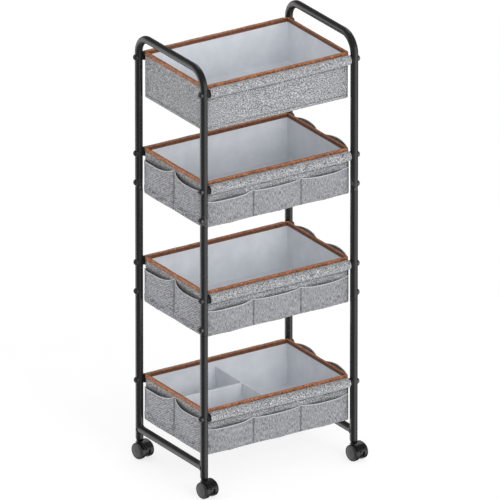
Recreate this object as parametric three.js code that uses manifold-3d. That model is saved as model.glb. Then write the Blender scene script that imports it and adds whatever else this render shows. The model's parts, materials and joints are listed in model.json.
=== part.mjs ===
// Four-tier rolling storage cart: two bent-tube side frames joined by eight rails, four fabric bins
// hung on the rails, and four twin-wheel swivel casters.
// Millimetres, +Z up, front towards -Y. The origin is on the floor, at the centre of the bounding box.
import * as THREE from "three";
import { mergeVertices } from "three/addons/utils/BufferGeometryUtils.js";
import Module from "manifold-3d";

// ---------------------------------------------------------------- driving dimensions
const POST_X = 180.2; // post axes, left and right of the middle
const POST_Y = 122; // post axes, in front of and behind the middle
const TUBE_R = 8;
const TUBE_WALL = 1.2;
const BORE_R = TUBE_R - TUBE_WALL;
const GAP = 0.3; // clearance between separate pieces
const OVERCUT = 1; // how far a cutting shape reaches past the surface that it opens

const RAIL_Z = [874.8, 665.8, 427.8, 168.8]; // rail axes, tier 1 at the top
const ARCH_Z = 922.3; // axis of the arch's top bar
const ARCH_BEND_R = 38;
const UPPER_SEAM_Z = 590; // foot of the arch's legs
const LOWER_SEAM_Z = 352; // foot of the middle posts
const SEAM_TO_BOLT = 12.3; // from a seam up to the bolt that pins the joint
const SPIGOT_LENGTH = 90; // swaged tube end that plugs into the tube above
const SPIGOT_R = BORE_R - 0.4;
const SWAGE = { start: 4, end: 2 }; // below the shoulder, where the bore narrows
const FOOT_Z = 38.8; // open foot of the posts
const SIDE_BAR_Z = 61;
const VENT_R = 3; // weld vent between the side bar and the posts

const BOLT_R = 3;
const BOLT_HOLE_R = BOLT_R + GAP;
const BOLT_HEAD_R = 5.8;
const BOLT_HEAD_H = 3.8;
const BOLT_RIM_SHARE = 0.35; // of the head's height, up to where its crown starts
const BOLT_CROWN_SHARE = 0.6; // of the head's radius, where its crown ends
const BOLT_GRIP = 14; // thread length inside the rail's end plug
const RAIL_PLUG = 18; // depth of the solid plug in each rail end

const BIN_X = 345; // outside of the fabric walls
const BIN_WALL_GAP = 0.5; // between a rail and the wall behind it
const BIN_Y = 2 * (POST_Y - TUBE_R - BIN_WALL_GAP);
const BIN_WALL = 3;
const BIN_FLOOR = 4;
const BIN_BOTTOM = -86; // below the rail's axis
const WALL_PADDING = 3; // the walls' inner faces lean in by this much at the floor
const RIM_TOP = 14; // above the rail's axis
const RIM_HEIGHT = 9;
const RIM_WIDTH = 5;
const SLEEVE_R = TUBE_R + 1.8;
const SLEEVE_HALF = 168;
const POCKET_SKIN = 1.6;
const POCKET_SEAM = 2.5;
const POCKET_ROOM = { start: 0.5, edge: 0.6 }; // where a pocket's hollow starts, out from the wall
const POCKET_CLOTH = 0.4; // how much less the hollow bulges than the outside
const POCKET_FOOT_SHARE = 0.2; // how much of its bulge a pocket keeps at its foot
const POCKET_EDGE = 1; // from the outer pockets to the bin's corner
const FRONT_POCKETS = { count: 3, top: -29, bulge: 6 };
const SIDE_POCKETS = { count: 2, top: 3, bulge: 12 };
const DIVIDER_TOP = -7; // below the rail's axis
const DIVIDER_X = -4;
const DIVIDER_Y = 10;

const WHEEL_R = 17.6;
const WHEEL_WIDTH = 10;
const WHEEL_TRACK = 22; // between the two wheels' middle planes
const WHEEL_DOME = 1; // crown of the wheel's outer disc
const WHEEL_EDGE = 1; // bevel of the tread's inner edge
const WHEEL_SHOULDER = 3; // bevel of the tread's outer edge
const CASTER_TRAIL = 9.8; // from the stem's axis back to the axle
const CASTER_HEADING = THREE.MathUtils.degToRad(10); // about +Z, away from the axle lying along X
const AXLE_R = 2.4;
const WHEEL_BORE_R = 3;
const HUB_SKIN = 2; // material between the blind bore and the outer disc
const STEM_R = 4;
const STEM_FOOT_Z = 26;
const STEM_TOP_Z = FOOT_Z + 46;
const GRIP_RING = { r: SPIGOT_R, foot: FOOT_Z + 0.5, top: FOOT_Z + 14, taper: 2 }; // inside the post
const BOSS_R = 6.6;
const WHEEL_GAP = 0.8; // between a wheel and the caster body beside it
const HOOD_GAP = 1; // between the hood and the wheels' treads
const HOOD_SKIN = 1.4;
const HOOD_STEPS = 8; // flats in the hood's arc
const HOOD_START = THREE.MathUtils.degToRad(24); // up from the axle's level, away from the stem
const HOOD_END = THREE.MathUtils.degToRad(112);
const WEB_R = WHEEL_R - 3; // the disc between the wheels
const BRIDGE = { trail: 6, lead: CASTER_TRAIL + 4, overlap: 0.5 }; // joins the disc to the hood
const BOSS_FOOT_Z = 16;
const HOOD_OVERHANG = 1.5; // how far the hood reaches past the wheels' middle planes

const TUBE_SIDES = 12;
const BEND_STEPS = 5; // stations in each of the arch's bends
const SMALL_SIDES = 8;
const WHEEL_SIDES = 20;

// ---------------------------------------------------------------- materials
function finish(color, roughness, metalness) {
  return new THREE.MeshStandardMaterial({ color, roughness, metalness });
}
const BLACK_PAINT = finish(0x2b2c2c, 0.42, 0.5);
const BLACK_ZINC = finish(0x1c1c1d, 0.35, 0.9);
const BRIGHT_STEEL = finish(0xb4b6b8, 0.3, 1);
const GREY_FELT = finish(0x9fa1a6, 0.95, 0);
const BROWN_BINDING = finish(0xa65f3c, 0.6, 0);
const BLACK_NYLON = finish(0x1e1e1f, 0.5, 0);
const WHEEL_PLASTIC = finish(0x303031, 0.55, 0);

// ---------------------------------------------------------------- solid helpers
const wasm = await Module();
wasm.setup();

function toSolid(geometry) {
  const bare = geometry.clone();
  bare.deleteAttribute("normal");
  bare.deleteAttribute("uv");
  const merged = mergeVertices(bare, 1e-3);
  return new wasm.Manifold(
    new wasm.Mesh({
      numProp: 3,
      vertProperties: merged.attributes.position.array,
      triVerts: new Uint32Array(merged.index.array),
    }),
  );
}

function toGeometry(solid) {
  const mesh = solid.getMesh();
  const geometry = new THREE.BufferGeometry();
  geometry.setAttribute("position", new THREE.BufferAttribute(mesh.vertProperties, 3));
  geometry.setIndex(new THREE.BufferAttribute(mesh.triVerts, 1));
  geometry.computeVertexNormals();
  return geometry;
}

function join(...geometries) {
  return toGeometry(geometries.map(toSolid).reduce((sum, next) => sum.add(next)));
}

function cut(geometry, ...tools) {
  return toGeometry(tools.map(toSolid).reduce((rest, tool) => rest.subtract(tool), toSolid(geometry)));
}

function box(x0, x1, y0, y1, z0, z1) {
  const geometry = new THREE.BoxGeometry(x1 - x0, y1 - y0, z1 - z0);
  return geometry.translate((x0 + x1) / 2, (y0 + y1) / 2, (z0 + z1) / 2);
}

// A cylinder from start to end along one axis, centred on the other two.
function rod(axis, radius, start, end, sides = TUBE_SIDES) {
  const geometry = new THREE.CylinderGeometry(radius, radius, end - start, sides);
  if (axis === "x") geometry.rotateZ(-Math.PI / 2);
  if (axis === "z") geometry.rotateX(Math.PI / 2);
  const middle = (start + end) / 2;
  return geometry.translate(
    axis === "x" ? middle : 0,
    axis === "y" ? middle : 0,
    axis === "z" ? middle : 0,
  );
}

// Turns [radius, height] pairs about Z. The pairs run up the outside of the piece; they end on the
// axis, or come back down the inside of a hollow piece to where they began.
function turned(pairs, sides = TUBE_SIDES) {
  const onAxis = pairs[0][0] === 0;
  const profile = onAxis ? pairs : [...pairs, pairs[0]];
  const points = profile.map(([r, z]) => new THREE.Vector2(r, z));
  return new THREE.LatheGeometry(points, sides).rotateX(Math.PI / 2);
}

function part(name, geometry, material) {
  const mesh = new THREE.Mesh(geometry, material);
  mesh.name = name;
  return mesh;
}

// ---------------------------------------------------------------- tube frame
// A path given as stations, so that straight runs take one step and bends take several.
class StationPath extends THREE.Curve {
  constructor(stations) {
    super();
    this.stations = stations;
  }
  station(u) {
    return this.stations[Math.round(u * (this.stations.length - 1))];
  }
  getPointAt(u) {
    return this.station(u).point.clone();
  }
  getPoint(u) {
    return this.getPointAt(u);
  }
  getTangentAt(u) {
    return this.station(u).tangent.clone();
  }
}

// The arch's axis in the YZ plane: up the back leg, over the top and down the front leg.
// overrun lengthens both legs.
function archPath(overrun) {
  const back = [{ y: POST_Y, z: UPPER_SEAM_Z - overrun, turn: 0 }];
  for (let i = 0; i <= BEND_STEPS; i++) {
    const turn = ((i / BEND_STEPS) * Math.PI) / 2;
    const y = POST_Y - ARCH_BEND_R * (1 - Math.cos(turn));
    const z = ARCH_Z - ARCH_BEND_R * (1 - Math.sin(turn));
    back.push({ y, z, turn });
  }
  const front = [...back].reverse().map(({ y, z, turn }) => ({ y: -y, z, turn: Math.PI - turn }));
  const stations = [...back, ...front].map(({ y, z, turn }) => ({
    point: new THREE.Vector3(0, y, z),
    tangent: new THREE.Vector3(0, -Math.sin(turn), Math.cos(turn)),
  }));
  return new StationPath(stations);
}

function sweptRod(path, radius) {
  const section = new THREE.Shape().absarc(0, 0, radius, 0, 2 * Math.PI);
  return new THREE.ExtrudeGeometry(section, {
    curveSegments: TUBE_SIDES / 2,
    steps: path.stations.length - 1,
    extrudePath: path,
    bevelEnabled: false,
  });
}

// Bolt holes along X through a tube, or through each of several tubes.
function boltHoles(heights, tubeYs) {
  const reach = TUBE_R + OVERCUT;
  return heights.flatMap((z) =>
    tubeYs.map((y) => rod("x", BOLT_HOLE_R, -reach, reach, SMALL_SIDES).translate(0, y, z)),
  );
}

function arch() {
  const holes = boltHoles([RAIL_Z[0], RAIL_Z[1], UPPER_SEAM_Z + SEAM_TO_BOLT], [-POST_Y, POST_Y]);
  return cut(sweptRod(archPath(0), TUBE_R), sweptRod(archPath(OVERCUT), BORE_R), ...holes);
}

// A post whose top end is swaged down to plug into the tube above it.
function spigotPost(footZ, shoulderZ) {
  const topZ = shoulderZ + SPIGOT_LENGTH;
  return turned([
    [TUBE_R, footZ],
    [TUBE_R, shoulderZ - GAP],
    [SPIGOT_R, shoulderZ - GAP],
    [SPIGOT_R, topZ],
    [SPIGOT_R - TUBE_WALL, topZ],
    [SPIGOT_R - TUBE_WALL, shoulderZ - SWAGE.end],
    [BORE_R, shoulderZ - SWAGE.start],
    [BORE_R, footZ],
  ]);
}

function middlePost() {
  const heights = [RAIL_Z[1], UPPER_SEAM_Z + SEAM_TO_BOLT, RAIL_Z[2], LOWER_SEAM_Z + SEAM_TO_BOLT];
  return cut(spigotPost(LOWER_SEAM_Z, UPPER_SEAM_Z), ...boltHoles(heights, [0]));
}

// Two lower posts and the side bar, welded together.
function baseFrame() {
  const ends = [-POST_Y, POST_Y];
  const posts = ends.map((y) => spigotPost(FOOT_Z, LOWER_SEAM_Z).translate(0, y, 0));
  const bar = rod("y", TUBE_R, -POST_Y, POST_Y).translate(0, 0, SIDE_BAR_Z);
  const barBore = rod("y", BORE_R, -POST_Y + TUBE_R, POST_Y - TUBE_R).translate(0, 0, SIDE_BAR_Z);
  const vent = rod("y", VENT_R, -POST_Y, POST_Y, SMALL_SIDES).translate(0, 0, SIDE_BAR_Z);
  const boreTop = LOWER_SEAM_Z - SWAGE.start;
  const bores = ends.map((y) => rod("z", BORE_R, FOOT_Z - OVERCUT, boreTop).translate(0, y, 0));
  const holes = boltHoles([RAIL_Z[2], LOWER_SEAM_Z + SEAM_TO_BOLT, RAIL_Z[3]], ends);
  return cut(join(...posts, bar), barBore, vent, ...bores, ...holes);
}

// A rail tube between two posts, with a bored plug in each end for its bolt.
function rail() {
  const end = POST_X - TUBE_R - GAP;
  const plug = end - RAIL_PLUG;
  return turned([
    [TUBE_R, -end],
    [TUBE_R, end],
    [BOLT_HOLE_R, end],
    [BOLT_HOLE_R, plug],
    [BORE_R, plug],
    [BORE_R, -plug],
    [BOLT_HOLE_R, -plug],
    [BOLT_HOLE_R, -end],
  ]).rotateY(Math.PI / 2);
}

// A button-head bolt along X: its head's seat is at X = 0, its head on the -X side and its thread on +X.
function bolt() {
  const tip = 2 * TUBE_R + BOLT_GRIP;
  const upright = turned(
    [
      [0, -tip],
      [BOLT_R, -tip],
      [BOLT_R, 0],
      [BOLT_HEAD_R, 0],
      [BOLT_HEAD_R, BOLT_HEAD_H * BOLT_RIM_SHARE],
      [BOLT_HEAD_R * BOLT_CROWN_SHARE, BOLT_HEAD_H],
      [0, BOLT_HEAD_H],
    ],
    SMALL_SIDES,
  );
  return upright.rotateY(-Math.PI / 2);
}

// ---------------------------------------------------------------- fabric bins
// A pocket's outline between its two seams, seen from above: X along the wall and Y out from it.
function pocketOutline(x0, x1, inside, seam, crown) {
  const steps = 4;
  const shape = new THREE.Shape();
  shape.moveTo(x1, inside);
  for (let i = 0; i <= steps; i++) {
    const share = i / steps;
    shape.lineTo(x1 + (x0 - x1) * share, seam + crown * Math.sin(Math.PI * share));
  }
  shape.lineTo(x0, inside);
  return shape;
}

// Draws a pocket's bulge in at its foot, where the fabric is sewn flat on the wall.
function drawnIn(geometry) {
  geometry.computeBoundingBox();
  const middle = (geometry.boundingBox.min.z + geometry.boundingBox.max.z) / 2;
  const position = geometry.attributes.position;
  for (let i = 0; i < position.count; i++) {
    const bulge = position.getY(i) - POCKET_SKIN;
    const atFoot = position.getZ(i) < middle;
    if (atFoot && bulge > 0) position.setY(i, POCKET_SKIN + bulge * POCKET_FOOT_SHARE);
  }
  return geometry;
}

// A pocket that is open at its top, on a wall that faces +Y.
function pocket(width, top, bulge) {
  const options = { steps: 1, bevelEnabled: false, depth: top - BIN_BOTTOM };
  const skin = new THREE.ExtrudeGeometry(pocketOutline(0, width, -OVERCUT, POCKET_SKIN, bulge), options);
  const hollow = new THREE.ExtrudeGeometry(
    pocketOutline(
      POCKET_SEAM,
      width - POCKET_SEAM,
      POCKET_ROOM.start,
      POCKET_ROOM.edge,
      bulge - POCKET_CLOTH,
    ),
    options,
  );
  skin.translate(0, 0, BIN_BOTTOM);
  hollow.translate(0, 0, BIN_BOTTOM + BIN_FLOOR);
  return cut(drawnIn(skin), drawnIn(hollow));
}

// A row of equal pockets across a wall of the given length that faces +Y, centred on X = 0.
function pocketRow({ count, top, bulge }, length) {
  const width = (length - 2 * POCKET_EDGE) / count;
  return Array.from({ length: count }, (_, i) =>
    pocket(width, top, bulge).translate(POCKET_EDGE - length / 2 + i * width, 0, 0),
  );
}

function pockets() {
  const front = pocketRow(FRONT_POCKETS, BIN_X);
  const left = pocketRow(SIDE_POCKETS, BIN_Y);
  const right = pocketRow(SIDE_POCKETS, BIN_Y);
  return [
    ...front.map((row) => row.rotateZ(Math.PI).translate(0, -BIN_Y / 2, 0)),
    ...left.map((row) => row.rotateZ(Math.PI / 2).translate(-BIN_X / 2, 0, 0)),
    ...right.map((row) => row.rotateZ(-Math.PI / 2).translate(BIN_X / 2, 0, 0)),
  ];
}

// The bin's inside: straight at the top, and narrower at the floor by the walls' padding.
function binInside(top) {
  const inX = BIN_X / 2 - BIN_WALL;
  const inY = BIN_Y / 2 - BIN_WALL;
  const inside = box(-inX, inX, -inY, inY, BIN_BOTTOM + BIN_FLOOR, top);
  const position = inside.attributes.position;
  for (let i = 0; i < position.count; i++) {
    if (position.getZ(i) < 0) {
      position.setX(i, position.getX(i) - Math.sign(position.getX(i)) * WALL_PADDING);
      position.setY(i, position.getY(i) - Math.sign(position.getY(i)) * WALL_PADDING);
    }
  }
  return inside;
}

// Two partitions that part the bin into one wide cell and two narrow ones.
function dividers() {
  const half = BIN_WALL / 2;
  const inX = BIN_X / 2 - BIN_WALL / 2;
  const inY = BIN_Y / 2 - BIN_WALL / 2;
  const foot = BIN_BOTTOM + BIN_FLOOR / 2;
  return [
    box(DIVIDER_X - half, DIVIDER_X + half, -inY, inY, foot, DIVIDER_TOP),
    box(-inX, DIVIDER_X, DIVIDER_Y - half, DIVIDER_Y + half, foot, DIVIDER_TOP),
  ];
}

// A solid rod of the given radius along each rail's axis.
function railCores(radius, half) {
  return [-POST_Y, POST_Y].map((y) => rod("x", radius, -half, half).translate(0, y, 0));
}

// A stiff fabric tray whose front and back walls carry sleeves for the rails. Z = 0 is the rails' height.
function bin({ hasPockets, hasDividers }) {
  const wallTop = RIM_TOP - BIN_WALL / 2;
  const shell = box(-BIN_X / 2, BIN_X / 2, -BIN_Y / 2, BIN_Y / 2, BIN_BOTTOM, wallTop);
  const outside = join(shell, ...railCores(SLEEVE_R, SLEEVE_HALF), ...(hasPockets ? pockets() : []));
  const tray = cut(outside, ...railCores(TUBE_R + GAP, POST_X), binInside(wallTop + OVERCUT));
  return hasDividers ? join(tray, ...dividers()) : tray;
}

// The folded binding round the bin's top edge: a channel that straddles the walls.
function rim() {
  const proud = (RIM_WIDTH - BIN_WALL) / 2;
  const x = BIN_X / 2 + proud;
  const y = BIN_Y / 2 + proud;
  const foot = RIM_TOP - RIM_HEIGHT;
  const band = box(-x, x, -y, y, foot, RIM_TOP);
  const opening = box(
    -x + RIM_WIDTH,
    x - RIM_WIDTH,
    -y + RIM_WIDTH,
    y - RIM_WIDTH,
    foot - OVERCUT,
    RIM_TOP + OVERCUT,
  );
  const slotX = BIN_X / 2 + GAP;
  const slotY = BIN_Y / 2 + GAP;
  const slotWidth = BIN_WALL + 2 * GAP;
  const slotTop = RIM_TOP - BIN_WALL / 2 + GAP;
  const slot = cut(
    box(-slotX, slotX, -slotY, slotY, foot - OVERCUT, slotTop),
    box(
      -slotX + slotWidth,
      slotX - slotWidth,
      -slotY + slotWidth,
      slotY - slotWidth,
      foot - 2 * OVERCUT,
      RIM_TOP,
    ),
  );
  return cut(band, opening, slot, ...railCores(SLEEVE_R + GAP, POST_X));
}

// ---------------------------------------------------------------- casters
// A caster is drawn with its stem along Z through the origin and its axle along X, trailing to -Y.
function onAxle(geometry) {
  return geometry.translate(0, -CASTER_TRAIL, WHEEL_R);
}

// The pin that the caster swivels on, with the ring that grips the inside of the post.
function stem() {
  return turned(
    [
      [0, STEM_FOOT_Z],
      [STEM_R, STEM_FOOT_Z],
      [STEM_R, GRIP_RING.foot],
      [GRIP_RING.r, GRIP_RING.foot],
      [GRIP_RING.r, GRIP_RING.top],
      [STEM_R, GRIP_RING.top + GRIP_RING.taper],
      [STEM_R, STEM_TOP_Z],
      [0, STEM_TOP_Z],
    ],
    SMALL_SIDES,
  );
}

// The hood seen along the axle: a shell over the treads that ends above the boss.
function hoodSection() {
  const inner = WHEEL_R + HOOD_GAP;
  const shape = new THREE.Shape();
  shape.absarc(0, 0, inner + HOOD_SKIN, HOOD_START, HOOD_END, false);
  shape.absarc(0, 0, inner, HOOD_END, HOOD_START, true);
  return shape;
}

function casterBody() {
  const wheelInside = (WHEEL_TRACK - WHEEL_WIDTH) / 2; // from the middle to a wheel's inner face
  const webHalf = wheelInside - WHEEL_GAP;
  const hoodHalf = WHEEL_TRACK / 2 + HOOD_OVERHANG;
  const tread = WHEEL_R + HOOD_GAP;
  const hood = new THREE.ExtrudeGeometry(hoodSection(), {
    depth: 2 * hoodHalf,
    curveSegments: HOOD_STEPS,
    bevelEnabled: false,
  });
  hood.translate(0, 0, -hoodHalf).rotateX(Math.PI / 2).rotateZ(-Math.PI / 2);
  const web = rod("x", WEB_R, -webHalf, webHalf, WHEEL_SIDES);
  const bridge = box(-webHalf, webHalf, -BRIDGE.trail, BRIDGE.lead, 0, tread + BRIDGE.overlap);
  const boss = rod("z", BOSS_R, BOSS_FOOT_Z, FOOT_Z - WHEEL_GAP);
  const socket = rod("z", STEM_R + GAP, STEM_FOOT_Z - GAP, FOOT_Z + OVERCUT, SMALL_SIDES);
  const axleBore = rod("x", AXLE_R + GAP, -hoodHalf, hoodHalf, SMALL_SIDES);
  const roomR = tread - GAP;
  const wheelRoom = [
    rod("x", roomR, webHalf, WHEEL_TRACK, WHEEL_SIDES),
    rod("x", roomR, -WHEEL_TRACK, -webHalf, WHEEL_SIDES),
  ];
  const solid = join(onAxle(hood), onAxle(web), onAxle(bridge), boss);
  return cut(solid, socket, onAxle(axleBore), ...wheelRoom.map(onAxle));
}

function axle() {
  const half = (WHEEL_TRACK + WHEEL_WIDTH) / 2 - HUB_SKIN - GAP;
  return onAxle(rod("x", AXLE_R, -half, half, SMALL_SIDES));
}

// A wheel whose blind bore faces the caster's middle. side is -1 for the left wheel, +1 for the right.
function wheel(side) {
  const face = WHEEL_WIDTH / 2;
  const upright = turned(
    [
      [WHEEL_BORE_R, -face],
      [WHEEL_R - WHEEL_EDGE, -face],
      [WHEEL_R, WHEEL_EDGE - face],
      [WHEEL_R, face - WHEEL_SHOULDER],
      [WHEEL_R - WHEEL_SHOULDER, face],
      [0, face + WHEEL_DOME],
      [0, face - HUB_SKIN],
      [WHEEL_BORE_R, face - HUB_SKIN],
    ],
    WHEEL_SIDES,
  );
  return onAxle(upright.rotateY((side * Math.PI) / 2).translate((side * WHEEL_TRACK) / 2, 0, 0));
}

// ---------------------------------------------------------------- assembly
const cart = new THREE.Group();
const SIDES = { left: -1, right: 1 };
const ENDS = { front: -1, back: 1 };

for (const [side, sx] of Object.entries(SIDES)) {
  const sideFrame = new THREE.Group();
  sideFrame.position.x = sx * POST_X;
  sideFrame.add(part(`${side}_arch`, arch(), BLACK_PAINT));
  sideFrame.add(part(`${side}_base_frame`, baseFrame(), BLACK_PAINT));
  for (const [end, sy] of Object.entries(ENDS)) {
    const post = part(`${end}_${side}_post`, middlePost(), BLACK_PAINT);
    post.position.y = sy * POST_Y;
    sideFrame.add(post);
  }
  cart.add(sideFrame);
}

RAIL_Z.forEach((z, i) => {
  const number = i + 1;
  const tier = new THREE.Group();
  tier.position.z = z;
  for (const [end, sy] of Object.entries(ENDS)) {
    const bar = part(`rail_${number}_${end}`, rail(), BLACK_PAINT);
    bar.position.y = sy * POST_Y;
    tier.add(bar);
    for (const [side, sx] of Object.entries(SIDES)) {
      const screw = part(`bolt_${number}_${end}_${side}`, bolt(), BLACK_ZINC);
      screw.rotation.z = sx > 0 ? Math.PI : 0;
      screw.position.set(sx * (POST_X + TUBE_R + GAP), sy * POST_Y, 0);
      tier.add(screw);
    }
  }
  const fabric = bin({ hasPockets: number > 1, hasDividers: number === RAIL_Z.length });
  tier.add(part(`bin_${number}`, fabric, GREY_FELT));
  tier.add(part(`bin_${number}_rim`, rim(), BROWN_BINDING));
  cart.add(tier);
});

for (const [side, sx] of Object.entries(SIDES)) {
  for (const [end, sy] of Object.entries(ENDS)) {
    const caster = new THREE.Group();
    caster.position.set(sx * POST_X, sy * POST_Y, 0);
    caster.rotation.z = CASTER_HEADING;
    caster.add(part(`stem_${end}_${side}`, stem(), BRIGHT_STEEL));
    caster.add(part(`caster_body_${end}_${side}`, casterBody(), BLACK_NYLON));
    caster.add(part(`axle_${end}_${side}`, axle(), BRIGHT_STEEL));
    caster.add(part(`wheel_${end}_${side}_left`, wheel(-1), WHEEL_PLASTIC));
    caster.add(part(`wheel_${end}_${side}_right`, wheel(1), WHEEL_PLASTIC));
    cart.add(caster);
  }
}

// Puts the origin on the floor at the middle of the bounding box.
const bounds = new THREE.Box3().setFromObject(cart, true);
cart.position.set(-(bounds.min.x + bounds.max.x) / 2, -(bounds.min.y + bounds.max.y) / 2, -bounds.min.z);

export default cart;
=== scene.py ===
"""Looks of a rolling storage cart: a painted tube frame, felt bins with sewn pockets, and casters."""

import json
import math

import bmesh
import bpy
import numpy as np
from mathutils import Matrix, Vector, noise


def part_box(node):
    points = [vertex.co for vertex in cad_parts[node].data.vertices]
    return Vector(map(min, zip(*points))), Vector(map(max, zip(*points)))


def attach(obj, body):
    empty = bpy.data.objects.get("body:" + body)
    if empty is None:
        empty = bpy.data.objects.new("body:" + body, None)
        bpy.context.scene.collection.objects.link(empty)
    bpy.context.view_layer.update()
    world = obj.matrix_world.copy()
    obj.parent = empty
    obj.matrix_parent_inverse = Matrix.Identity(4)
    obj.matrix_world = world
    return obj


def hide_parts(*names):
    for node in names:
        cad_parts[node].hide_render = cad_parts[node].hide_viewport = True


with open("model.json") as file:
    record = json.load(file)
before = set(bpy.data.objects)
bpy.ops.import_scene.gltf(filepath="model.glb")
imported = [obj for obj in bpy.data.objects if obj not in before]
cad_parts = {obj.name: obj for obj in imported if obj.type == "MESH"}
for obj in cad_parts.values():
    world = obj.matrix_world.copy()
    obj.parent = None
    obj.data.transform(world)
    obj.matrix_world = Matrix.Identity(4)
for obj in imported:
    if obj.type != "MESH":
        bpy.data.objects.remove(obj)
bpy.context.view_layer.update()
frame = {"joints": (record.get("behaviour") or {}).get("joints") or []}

MM = 0.001
SIDES = {"left": -1, "right": 1}
ENDS = {"front": -1, "back": 1}
TIERS = (1, 2, 3, 4)
ALONG_X, ALONG_Y, UP = np.eye(3)

# ------------------------------------------------------------------ sizes, in metres
TUBE_R = 8 * MM
BORE_R = 6.8 * MM
SPIGOT_R = 6.4 * MM
SPIGOT_BORE_R = 5.2 * MM
BEND_R = 38 * MM
SIDE_BAR_Z = 61 * MM
SEAM_TO_BOLT = 12.3 * MM
WELD_R = 1.5 * MM
RAIL_PLUG = 18 * MM
RAIL_HOLE_R = 3.3 * MM
COLLAR_R = 8.5 * MM
COLLAR_LENGTH = 4 * MM

BOLT_R = 3 * MM
BOLT_HEAD_R = 5.8 * MM
BOLT_HEAD_H = 3.8 * MM
BOLT_RIM = 0.5 * MM  # the upright edge of the head, under its dome
RAIL_BOLT_LENGTH = 29 * MM
JOINT_BOLT_LENGTH = 9 * MM
HEX_R = 2.0 * MM
WASHER_R = 6.4 * MM

WHEEL_R = 17.6 * MM
WHEEL_WIDTH = 10 * MM
HUB_SKIN = 2 * MM
STEM_FOOT = 26 * MM
HOOD_FRONT, WEB_FRONT, HOOD_BACK = np.radians((24, 14, 118))

BIN_HALF_X = 172.5 * MM
BIN_HALF_Y = 113.5 * MM
BIN_BOTTOM = -86 * MM  # heights on the bins are from the rails' axis
BINDING_PROUD = 1 * MM  # the binding stands this far outside the walls
BINDING_SKIN = 1 * MM
BINDING_STITCH = 1.6 * MM  # above the binding's lower edge
RIM_TOP = 14 * MM
RIM_HEIGHT = 9 * MM
RIM_WIDTH = 5 * MM
FELT = 1.7 * MM
LINER = 1.2 * MM
FLOOR = 4 * MM
WALL_LEAN = 3 * MM  # the lining leans in by this much at the floor
CORNER_R = 5 * MM
OUTLINE_PITCH = 5 * MM
FELT_HEM = 7.5 * MM  # the sewn line round the foot of the felt, above its bottom
FELT_FOOT_R = 2.2 * MM
LINING_FOOT_R = 4 * MM
# the width of the felt's pressed lines, and of the painted shade along them
CREASE = 0.8 * MM

SLEEVE_R = 9.9 * MM
SLEEVE_HALF = 168 * MM
SLEEVE_FOOT = -16 * MM
SLEEVE_STITCH = -13.6 * MM

# A strip's pockets: how far their top edges sag between seams and drop at the strip's ends, and their bulge.
FRONT_POCKETS = dict(
    count=3, top=-27.5 * MM, bulge=7 * MM, sag=-0.5 * MM, start_drop=3 * MM, end_drop=0.0, boxy=0.5
)
LEFT_POCKETS = dict(
    count=2, top=2 * MM, bulge=13 * MM, sag=9 * MM, start_drop=16 * MM, end_drop=8 * MM, boxy=0.36
)
RIGHT_POCKETS = dict(
    count=2, top=3 * MM, bulge=15 * MM, sag=-12 * MM, start_drop=0.0, end_drop=0.0, boxy=0.5
)
POCKET_PITCH = 3 * MM
POCKET_ROWS = 20
POCKET_EDGE = 1.5 * MM
POCKET_FOOT = 1 * MM
POCKET_FOOT_SHARE = 0.12  # of the bulge that is left at the foot
CLOTH = 0.9 * MM
CLOTH_OFF_WALL = CLOTH / 2 + 0.25 * MM
CHECK_WIDTH = 8 * MM
CHECK_HEIGHT = 5 * MM
# the width of the painted shade along the pockets' seams
SEAM_SHADE_WIDTH = 1.0 * MM
END_SEAM_SHADE = 0.3  # how dark the painted shade at the seams at a strip's ends is, next to that between its pockets
END_STITCH_INSET = 1.6 * MM
HEM = 7 * MM
HEM_STITCH = 1.2 * MM  # above the hem's lower edge
PIPING_R = 0.95 * MM
DRAPE_FRAMES = 22
DRAPE_CAP = 5 * MM  # no point of the cloth settles further than this
DRAPE = dict(
    quality=8, mass=0.25, tension_stiffness=12, compression_stiffness=12, shear_stiffness=4,
    bending_stiffness=0.4, shrink_min=-0.035, vertex_group_mass="held", use_pressure=True,
    uniform_pressure_force=0.6,
)

STITCH_PITCH = 4.4 * MM
STITCH_LENGTH = 3.0 * MM
STITCH_SHAPE = ((-0.5, 0.0), (-0.38, 0.85), (0.0, 1.0), (0.38, 0.85), (0.5, 0.0))  # shares: along, thick
THREAD_R = 0.32 * MM

DIVIDER_TOP = -7 * MM
DIVIDER_X = -4 * MM
DIVIDER_Y = 10 * MM
DIVIDER_HALF = 1.5 * MM

FLOOR_HALF = 4.0
FLOOR_GLOW = 0.74
BACKDROP = 1.29  # how bright the room is behind the cart
CAMERA_AZIMUTH = math.radians(-32.67)
CAMERA_RISE = math.radians(22.43)
CAMERA_DISTANCE = 42.19
CAMERA_LENS = 1500


# ------------------------------------------------------------------ mesh helpers
def unit(vectors):
    return vectors / np.maximum(np.linalg.norm(vectors, axis=-1, keepdims=True), 1e-12)


def full_turn(count):
    """Evenly spaced angles round a circle."""
    return np.linspace(0, 2 * math.pi, count, endpoint=False)


def circle(angle, first, second):
    """Unit vectors at angles that turn from one direction towards another."""
    return np.outer(np.cos(angle), first) + np.outer(np.sin(angle), second)


def curve(start, corner, end, steps):
    """Points on a curve between two points that bends towards a corner."""
    shares = np.linspace(0, 1, steps + 1)
    return [start * (1 - t) ** 2 + corner * 2 * t * (1 - t) + end * t**2 for t in shares]


def at_height(xy, z):
    return np.column_stack([xy, np.full(len(xy), z)])


def smooth(value):
    value = np.clip(value, 0, 1)
    return value * value * (3 - 2 * value)


def lumps(points, scale, shift):
    """Smooth noise at points that are stretched by scale and then raised by shift."""
    return np.array([noise.noise(Vector(point)) for point in np.asarray(points) * scale + (0, 0, shift)])


def between(at, places, values):
    """The row of values at one place along them."""
    return np.array([np.interp(at, places, column) for column in values.T])


def mirrored(side):
    """A loop of (radius, along, ...) points from those on one side of the middle."""
    return [(radius, -along, *rest) for radius, along, *rest in side] + side[::-1]


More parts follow.
